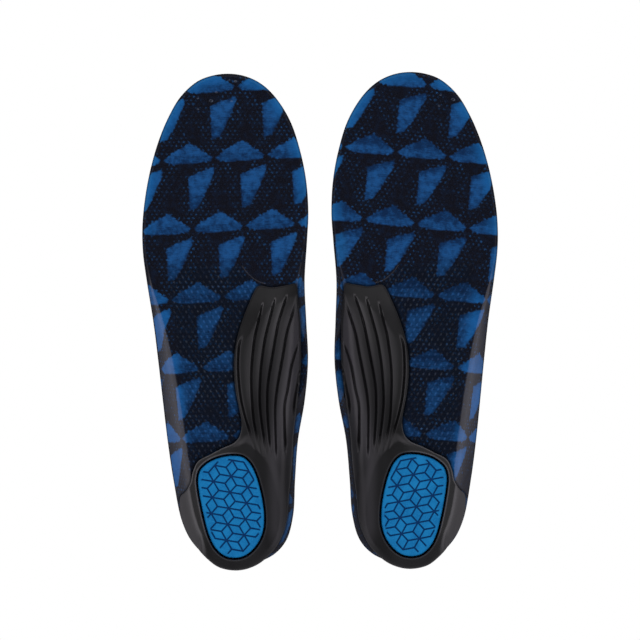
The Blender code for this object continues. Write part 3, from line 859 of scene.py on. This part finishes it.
def shell_material():
    """Black satin moulded elastomer with faint flow marks."""
    blacks = rgb(18, 18, 19), rgb(24, 24, 26)
    streak, groove_shade, edge_highlight_grey = rgb(56, 54, 59), rgb(6, 6, 7), rgb(60, 60, 63)
    material, net = new_material("black_shell_satin")
    place = net.source("TexCoord", "Object")
    groove, edge_highlight, polish, sheen_paint = (
        net.attribute(name) for name in ("groove", "edge_highlight", "polish", "sheen_paint"))
    flow = net.noise(place * (60, 18, 60), scale=1.0, detail=3.0)
    fine = net.noise(place, scale=900, detail=3.0, rough=0.65)
    grain = net.noise(place, scale=2600, rough=0.6)
    colour = net.mix(net.ramp(flow, over=(0.3, 0.7)), *blacks)
    # painted sheen: the paler streak, over a faint lightening everywhere
    colour = net.mix(sheen_paint.linear(gain=0.72, offset=0.05), colour, streak)
    # painted shade in the grooves
    colour = net.mix(groove * 0.85, colour, groove_shade)
    normal = net.bump(fine, strength=0.12, distance=0.00025)
    net.principled({
        # painted highlight along the shell's rear edge
        "Base Color": net.mix(edge_highlight * 0.35, colour, edge_highlight_grey),
        "Roughness": flow.linear(gain=0.14, offset=0.33),
        "Specular IOR Level": polish * net.seen_from_below(least=0.6),
        "Normal": net.bump(grain, strength=0.10, distance=0.00008, normal=normal),
    })
    return material


def pad_material():
    """Blue satin gel, with painted shade darkening its grooves."""
    blues = rgb(12, 100, 158), rgb(20, 115, 174)
    fleck, groove_shade_blue = rgb(30, 122, 180), rgb(3, 47, 96)
    material, net = new_material("blue_gel_pad")
    place = net.source("TexCoord", "Object")
    cloud = net.noise(place, scale=120, detail=3.0, rough=0.6)
    fine = net.noise(place, scale=1500, detail=3.0, rough=0.65)
    colour = net.mix(net.ramp(cloud, over=(0.3, 0.7)), *blues)
    colour = net.mix(net.ramp(fine, over=(0.45, 0.75)), colour, fleck)
    net.principled({
        # painted shade in the grooves
        "Base Color": net.mix(net.attribute("groove"), colour, groove_shade_blue),
        "Roughness": cloud.linear(gain=0.15, offset=0.42),
        "Specular IOR Level": 0.06,
        "Normal": net.bump(fine, strength=0.2, distance=0.0002),
    })
    return material


GEL = gel_base_material()
KNIT = knit_material()
SHELL = shell_material()
PAD = pad_material()


# ---- gel base and cover ----
def emboss_zone(points):
    """1 where the underside carries pips, fading out towards the toes and the walls."""
    x, y = points[:, 0], points[:, 1]
    soft = 1.0 + 9.0 * smoothstep(46, 58, x)
    d = to_loop(points, OUTLINE_FINE)[0]
    return smoothstep(0.0, 1.0, (from_table(EMBOSS_FRONT, x) - y) / soft) * smoothstep(10.0, 15.0, d)


def pip_points():
    """Centres of the pips, and two ovals of mesh points round each."""
    stagger = PIP_STEP[0] / 2
    c = np.array([
        (PIP_CENTRE[0] + PIP_STEP[0] * j + (stagger if k % 2 else 0.0),
         PIP_CENTRE[1] + PIP_STEP[1] * k)
        for k in range(-30, 30) for j in range(-30, 30)
    ])
    c = c[inside(c, OUTLINE_FINE)]
    c = c[(emboss_zone(c) > 0.25) & (signed(c, SHELL_FINE) < -1.2)]
    around = []
    for size, count, turn in ((0.5, 6, 0.0), (1.0, 8, 0.4)):
        for i in range(count):
            t = 2 * math.pi * i / count + turn
            reach = (PIP_ALONG * math.cos(t) * PIP_RADII[0]
                     + PIP_ACROSS * math.sin(t) * PIP_RADII[1])
            around.append(c + reach * size)
    return c, np.vstack(around)


def laminate_plan():
    """Plan mesh of base and cover, its outline, the zone line and the pip centres.

    Loose points keep clear of the pocket, the pips, the zone line and the shell's edge, each of
    which has its own rows of points.
    """
    outline = respaced(OUTLINE_FINE, LAMINATE_SPACING)
    opening, slope = (offset(PAD_FINE, -reach, 2.0) for reach in POCKET_STEP)
    pips, around = pip_points()
    zone = open_curve(ZONE_LINE, 0.8)

    def from_pocket(points):
        return np.abs(signed(points, PAD_FINE) + sum(POCKET_STEP) / 2)

    def from_pips(points):
        return to_segments(points, pips, pips)[0]

    def from_joint(points):
        return np.abs(signed(points, SHELL_FINE) + 0.6)

    rings = offsets(OUTLINE_FINE, LAMINATE_RINGS, LAMINATE_SPACING)
    rings = rings[(signed(rings, OUTLINE_FINE) > 0.05) & (from_pocket(rings) > 0.9)
                  & (from_pips(rings) > 1.3) & (from_joint(rings) > 1.6)]
    grid = hex_grid((4, -140), (104, 142), 2.3)
    grid = grid[(from_pips(grid) > 2.4) & (signed(grid, OUTLINE_FINE) > 14.2)
                & (from_pocket(grid) > 1.4) & (to_line(grid, zone)[0] > 1.2)
                & (from_joint(grid) > 1.8)]
    joint = offsets(SHELL_FINE, SHELL_JOINT_RINGS, 1.6)
    joint = joint[(signed(joint, OUTLINE_FINE) > 0.3) & (from_pocket(joint) > 0.9)
                  & (from_pips(joint) > 0.9)]
    mesh = plan_mesh([outline, opening, slope], parallels(zone, ZONE_ROWS),
                     np.vstack([rings, grid, joint, pips, around]))
    return mesh, outline, zone, pips


(PLAN, PLAN_FACES), PLAN_OUTLINE, ZONE, PIPS = laminate_plan()
UNDER, INTERFACE, TOP, FROM_EDGE = heights(PLAN)
IN_OUTLINE = inside(centres(PLAN, PLAN_FACES), PLAN_OUTLINE)


def pip_shape(points):
    """1 at the centre of a pip, 0 from its edge outwards."""
    index = to_segments(points, PIPS, PIPS)[1]
    off = points - PIPS[index]
    r = np.sqrt((off @ PIP_ALONG / PIP_RADII[0]) ** 2 + (off @ PIP_ACROSS / PIP_RADII[1]) ** 2)
    return smoothstep(1.0, 0.0, r)


# Each shape is (points, polygons, attributes, plan points for the print or None).
def gel_base_shape():
    low = UNDER + round_edge(FROM_EDGE, 0.9) * 0.8
    low = low - 0.12 * np.clip(1 - to_line(PLAN, ZONE)[0] / 0.28, 0, 1)
    pip = pip_shape(PLAN) * emboss_zone(PLAN)
    low = low - PIP_HEIGHT * pip
    low = np.maximum(low, -0.3)
    over_pad = -signed(PLAN, PAD_FINE) < POCKET_REACH
    low = np.where(over_pad, np.maximum(low, POCKET_CEILING), low)
    high = INTERFACE - 0.02
    low = np.minimum(low, high - 0.2)
    points, polygons, source, upper = slab(PLAN, PLAN_FACES, IN_OUTLINE, low, high)
    flat, d = PLAN[source], FROM_EDGE[source]
    x, y = flat[:, 0], flat[:, 1]
    # rim of the forefoot and toes, and the medial wall
    matt_rim = smoothstep(2.4, 1.4, d) * smoothstep(5, 30, y)
    matt_wall = smoothstep(10.0, 6.0, d) * smoothstep(48, 38, x) * smoothstep(62, 44, y)
    # painted glow: rim of the forefoot and toes, and the lateral wall
    painted_glow_rim = smoothstep(9.0, 0.8, d) * smoothstep(10, 70, y)
    painted_glow_wall = 0.8 * smoothstep(15.0, 8.0, d) * smoothstep(56, 70, x) * smoothstep(34, 0, y)
    attributes = {
        "embossed": emboss_zone(flat),
        "pip": np.where(upper, 0.0, pip[source]),
        "edge": smoothstep(0.75, 0.15, d),
        "matt": np.maximum(matt_rim, 0.75 * matt_wall),
        "painted_glow": np.maximum(painted_glow_rim, painted_glow_wall),
        "joint": smoothstep(1.5, 0.3, -signed(flat, SHELL_FINE)),
    }
    return points, polygons, attributes, unroll(flat, points[:, 2], sole_height(flat))


def top_cover_shape():
    high = np.maximum(TOP - round_edge(FROM_EDGE, 0.7), INTERFACE + 0.15)
    points, polygons, source, _ = slab(PLAN, PLAN_FACES, IN_OUTLINE, INTERFACE, high)
    flat = PLAN[source]
    attributes = {"edge": smoothstep(0.6, 0.1, FROM_EDGE[source])}
    return points, polygons, attributes, unroll(flat, points[:, 2], seat_height(flat))


# ---- arch shell ----
def shell_plan():
    edge = respaced(SHELL_FINE, 1.1)
    opening = offset(PAD_FINE, -PAD_SIDE_GAP, 1.0)
    lines, beside = [], []
    for stations in FLUTES:
        line = open_curve(stations, 0.9)
        line = line[signed(line, SHELL_FINE) > 1.0]
        lines.append(line)
        beside += parallels(line, FLUTE_ROWS)
    starts = np.vstack([line[:-1] for line in lines])
    ends = np.vstack([line[1:] for line in lines])

    def clear(points, edge_gap, pad_gap, flute_gap=None):
        keep = (signed(points, SHELL_FINE) > edge_gap) & (-signed(points, PAD_FINE) > pad_gap)
        if flute_gap is not None:
            keep &= to_segments(points, starts, ends)[0] > flute_gap
        return points[keep]

    rings = np.vstack([offsets(SHELL_FINE, SHELL_RINGS, 1.1),
                       offsets(PAD_FINE, SHELL_OPENING_RINGS, 1.0)])
    rings = clear(rings, edge_gap=0.15, pad_gap=PAD_SIDE_GAP + 0.08, flute_gap=1.5)
    grid = hex_grid((10, -144), (84, 22), 0.95)
    grid = clear(grid, edge_gap=2.0, pad_gap=5.9, flute_gap=1.7)
    beside = clear(np.vstack(beside), edge_gap=0.7, pad_gap=2.0)
    verts, faces = plan_mesh([edge, opening], lines, np.vstack([rings, grid, beside]))
    middles = centres(verts, faces)
    return verts, faces, inside(middles, edge) & ~inside(middles, opening)


def flute_depth(points):
    """Sharp grooves (0 on the ribs, 1 at the bottom) and the wide dip round them."""
    sharp = np.zeros(len(points))
    wide = np.zeros(len(points))
    for stations in FLUTES:
        line = open_curve(stations, 2.0)
        d, index, share = to_line(points, line)
        steps = np.linalg.norm(line[1:] - line[:-1], axis=1)
        length = np.concatenate([[0], np.cumsum(steps)])
        along = length[index] + share * (length[index + 1] - length[index])
        fade = smoothstep(-2, 6, along) * smoothstep(-1, 8, length[-1] - along)
        width = 0.45 + 0.5 * fade
        sharp = np.maximum(sharp, fade * smoothstep(1.0, 0.12, d / width))
        wide = np.maximum(wide, fade * np.exp(-(d / 2.2) ** 2))
    return sharp, wide


def arch_shell_shape():
    verts, faces, chosen = shell_plan()
    x, y = verts[:, 0], verts[:, 1]
    under = heights(verts)[0]
    steep = steepness(verts)
    from_pad = -signed(verts, PAD_FINE)
    rim = signed(verts, SHELL_FINE)
    out = signed(verts, OUTLINE_FINE)
    # upper side: under the gel, capped behind the heel and falling off beyond the outline
    cap = LOBE_TOP + 20 * smoothstep(12, 32, np.abs(x - 50.5)) + 20 * smoothstep(-136, -120, y)
    high = np.minimum(under - 0.03 * steep, cap)
    high = np.where(out < 0, np.minimum(high, LOBE_TOP - 0.35 * out ** 2), high)
    sharp, wide = flute_depth(verts)
    along_arch = smoothstep(30, -5, np.abs(y + 25) - 25)
    thick = SHELL_THICKNESS + 0.5 * along_arch * smoothstep(1.5, 5, rim)
    thick = thick - 1.15 * sharp - 0.3 * wide
    thick = thick + (RING_THICKNESS - SHELL_THICKNESS) * smoothstep(13, 4, from_pad)
    # the ring's flat ends in a crease beside the lateral wing and rolls into the medial wall
    wing = smoothstep(56, 66, x + 0.35 * (y + 105)) * smoothstep(-140, -128, y)
    ring = (0.045 + 0.5 * wing) * np.maximum(from_pad - (RING_FLAT - 1.2 * wing), 0) ** 2
    low = np.maximum(soft_min(under - (0.3 + thick) * steep, ring, 3.0 - 2.6 * wing), 0.0)
    # rounded lip at the pad and rounded outer edge
    low = low + round_edge(np.maximum(from_pad - PAD_SIDE_GAP, 0), 1.1) * 1.2
    low = low + round_edge(np.maximum(rim, 0), 0.6) * 0.9
    low = np.minimum(low, high - 0.15)
    points, polygons, source, _ = slab(verts, faces, chosen, low, high)

    x, y, rim, wing = x[source], y[source], rim[source], wing[source]
    # painted highlight: a lighter band along the shell's edge towards the heel
    edge_highlight = smoothstep(0.9, 0.2, rim) * smoothstep(-30, -50, y) * smoothstep(56, 50, x) * 0.5
    # a little glossier on the lateral wing than on the arch side
    polish = 0.31 + 0.5 * wing - 0.12 * smoothstep(45, 30, x) * smoothstep(-68, -90, y)
    polish = polish * (1 - 0.8 * smoothstep(1.3, 0.4, rim) * smoothstep(-45, -15, y))
    plate = smoothstep(22, 34, x) * smoothstep(-72, -58, y) * smoothstep(14, 2, y)
    polish = polish * (1 - 0.5 * plate)
    # painted sheen: a paler streak follows the bend of the arch side down into the medial wall of
    # the heel
    middle = from_table(SHEEN_MIDDLE, y)
    reach = np.where(x > middle, SHEEN_PLATE_REACH, from_table(SHEEN_WALL_REACH, y))
    sheen_paint = np.exp(-((x - middle) / reach) ** 2)
    sheen_paint = sheen_paint * smoothstep(-134, -118, y) * smoothstep(14, -4, y) * smoothstep(0.3, 1.6, rim)
    sheen_paint = sheen_paint * (1 - 0.25 * smoothstep(-66, -84, y))
    attributes = {"groove": sharp[source], "edge_highlight": edge_highlight, "polish": polish, "sheen_paint": sheen_paint}
    return points, polygons, attributes, None


# ---- heel pad ----
def pad_grooves():
    """Groove segments of the tumbling-blocks pattern, cut off at the pad's plain border."""
    starts, ends = [], []
    for i in range(-9, 10):
        for j in range(-9, 10):
            star = STAR + STEP_P * i + STEP_Q * j
            far = star + STEP_P + STEP_Q
            for triangle in ((star, star + STEP_P, far), (star, star + STEP_Q, far)):
                centre = sum(triangle) / 3
                for corner in triangle:
                    t = np.linspace(0, 1, 25)
                    points = corner + (centre - corner) * t[:, None]
                    within = np.where(signed(points, PAD_FINE) > PAD_BORDER)[0]
                    if len(within) >= 9:
                        starts.append(points[within[0]])
                        ends.append(points[within[-1]])
    return np.array(starts), np.array(ends)


def pad_plan():
    """Plan mesh of the pad, its chosen faces and each vertex's distance to the grooves."""
    starts, ends = pad_grooves()
    edge = respaced(PAD_FINE, 0.8)
    lines = []
    for a, b in zip(starts, ends):
        normal = np.array([-(b - a)[1], (b - a)[0]]) / np.linalg.norm(b - a)
        lines += [np.array([a + normal * k, b + normal * k]) for k in GROOVE_ROWS]
    rings = offsets(PAD_FINE, PAD_RINGS, 0.8)
    grid = hex_grid((30, -138), (74, -75), 1.0)
    grid = grid[signed(grid, PAD_FINE) > 1.8]
    grid = grid[to_segments(grid, starts, ends)[0] > 0.8]
    verts, faces = plan_mesh([edge], lines, np.vstack([rings, grid]))
    to_groove = to_segments(verts, starts, ends)[0]
    return verts, faces, inside(centres(verts, faces), edge), to_groove


def heel_pad_shape():
    verts, faces, chosen, to_groove = pad_plan()
    rim = np.maximum(signed(verts, PAD_FINE), 0)
    groove = smoothstep(0.58, 0.24, to_groove)
    crown = 0.35 * smoothstep(1.0, 12.0, rim)
    low = PAD_BOTTOM + 0.35 - crown + round_edge(rim, 1.1) * 0.9 + GROOVE_DEPTH * groove
    high = np.full(len(verts), PAD_TOP)
    points, polygons, source, upper = slab(verts, faces, chosen, low, high)
    return points, polygons, {"groove": groove[source] * ~upper}, None


BASE_SHAPE = gel_base_shape()
COVER_SHAPE = top_cover_shape()
SHELL_SHAPE = arch_shell_shape()
PAD_SHAPE = heel_pad_shape()


# ---- objects ----
def link_object(name, data):
    o = bpy.data.objects.new(name, data)
    bpy.context.scene.collection.objects.link(o)
    return o


def make(name, shape, side, material, sharp_angle=50):
    points, polygons, attributes, laid = shape
    coords = np.column_stack([points[:, 0] * SIDES[side], points[:, 1] + Y_CENTRE, points[:, 2]])
    if side == "left":
        polygons = [tuple(reversed(f)) for f in polygons]
    mesh = bpy.data.meshes.new(name)
    mesh.from_pydata([tuple(c) for c in coords * MM], [], polygons)
    mesh.update()
    if laid is not None:
        layer = mesh.uv_layers.new(name="print")
        vertex = np.empty(len(mesh.loops), np.int32)
        mesh.loops.foreach_get("vertex_index", vertex)
        uv = print_uv(laid, side)[vertex]
        layer.data.foreach_set("uv", uv.astype(np.float32).ravel())
        attributes = {**attributes, "left": np.full(len(points), float(side == "left"))}
    for key, values in attributes.items():
        attribute = mesh.attributes.new(key, "FLOAT", "POINT")
        attribute.data.foreach_set("value", np.asarray(values, np.float32))
    mesh.materials.append(material)
    mesh.shade_smooth()
    mesh.set_sharp_from_angle(angle=math.radians(sharp_angle))
    return link_object(name, mesh)


def build(side):
    laminate = []
    for part, shape, material, slot in (
        ("_gel_base", BASE_SHAPE, GEL, "clear_gel"),
        ("_top_cover", COVER_SHAPE, KNIT, "printed_knit"),
    ):
        o = make(side + part, shape, side, material)
        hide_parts(side + part + "_rear", side + part + "_front")
        laminate.append(o)
    shell = make(side + "_arch_shell_moulding", SHELL_SHAPE, side, SHELL)
    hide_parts(side + "_arch_shell")
    pad = make(side + "_heel_gel_pad", PAD_SHAPE, side, PAD, sharp_angle=60)
    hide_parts(side + "_heel_pad")

    for o in laminate:
        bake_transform(o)
    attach(shell, side + "_insole")
    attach(pad, side + "_heel_cushion")


for side in SIDES:
    build(side)


# ---- stage, in metres ----
FLOOR_HALF = 3.0
FLOOR_Z = -0.00035


def floor_material():
    """Pale paper that only camera rays from above see, fading out with distance."""
    papers = (0.83, 0.83, 0.82, 1), (0.85, 0.85, 0.84, 1)
    material, net = new_material("studio_floor_paper")
    place = net.source("TexCoord", "Object")
    net.principled({
        "Base Color": net.mix(net.noise(place, scale=400, detail=3.0), *papers),
        "Roughness": 0.9,
        "Specular IOR Level": 0.1,
    })
    from_above = 1.0 - net.source("NewGeometry", "Backfacing")
    shown = net.source("LightPath", "Is Camera Ray") * from_above
    shown = shown * net.ramp(place.length(), over=(1.1, 0.25))
    paper = Signal(net, net.nodes["Principled BSDF"].outputs[0])
    surface = net.source("MixShader", 0, {0: shown, 1: net.source("BsdfTransparent"), 2: paper})
    net.fill(net.nodes["Material Output"], {"Surface": surface})
    return material


def floor():
    mesh = bpy.data.meshes.new("studio_floor")
    corners = ((-1, -1), (1, -1), (1, 1), (-1, 1))
    mesh.from_pydata(
        [(x * FLOOR_HALF, y * FLOOR_HALF, FLOOR_Z) for x, y in corners], [], [(0, 1, 2, 3)])
    o = link_object("studio_floor", mesh)
    mesh.materials.append(floor_material())


def light(name, at, size, power):
    """Square lamp aimed at the origin that leaves no highlight."""
    data = bpy.data.lights.new(name, "AREA")
    data.shape = "RECTANGLE"
    data.size = data.size_y = size
    data.energy = power
    o = link_object(name, data)
    o.location = at
    o.rotation_mode = "QUATERNION"
    o.rotation_quaternion = (-Vector(at)).to_track_quat("-Z", "Y")
    o.visible_glossy = False


def studio_world():
    """White tent: even for matt surfaces; in reflections dark far below and dim above."""
    world = bpy.data.worlds.new("studio")
    bpy.context.scene.world = world
    world.use_nodes = True
    net = Net(world.node_tree)
    z = net.source("SeparateXYZ", "Z", {0: net.source("TexCoord", "Generated")})
    path = net.add("LightPath")
    glossy = Signal(net, path.outputs["Is Glossy Ray"])
    camera_ray = Signal(net, path.outputs["Is Camera Ray"])
    mirrored = (net.ramp(z, over=(-0.94, -0.70), to=(0.0, 1.0))
                * net.ramp(z, over=(0.0, 0.6), to=(1.25, 0.2)))
    matt = net.ramp(z, over=(-0.3, 0.4), to=(1.0, 0.5))
    tent = mirrored * glossy + matt * (1.0 - glossy)
    net.fill(net.nodes["Background"], {
        "Strength": tent.at_least(camera_ray),
        "Color": net.mix(glossy, (1, 1, 1, 1), (1.03, 0.98, 1.06, 1)),
    })


def camera():
    """Camera under the insoles, looking straight up."""
    view_width = 367.04 * MM
    focus_height = 0.003
    shift_up, shift_left = 0.6882 * MM, 0.51615 * MM
    data = bpy.data.cameras.new("camera")
    o = link_object("camera", data)
    data.lens, data.sensor_width = 600.0, 36.0
    data.clip_start, data.clip_end = 0.01, 20
    distance = view_width * data.lens / data.sensor_width
    roll = math.radians(ROLL)
    right = Vector((-math.cos(roll), -math.sin(roll), 0))
    up = Vector((-math.sin(roll), math.cos(roll), 0))
    back = Vector((0, 0, -1))
    matrix = Matrix((right, up, back)).transposed().to_4x4()
    centre = Vector((0, 0, focus_height - distance))
    matrix.translation = centre + up * shift_up - right * shift_left
    o.matrix_world = matrix
    bpy.context.scene.camera = o


floor()
light("key_above", at=(0.9, -0.7, 1.3), size=1.0, power=12)
light("fill_above", at=(-1.0, 0.8, 1.2), size=1.2, power=7)
studio_world()
camera()
bpy.context.scene.view_settings.view_transform = "Standard"
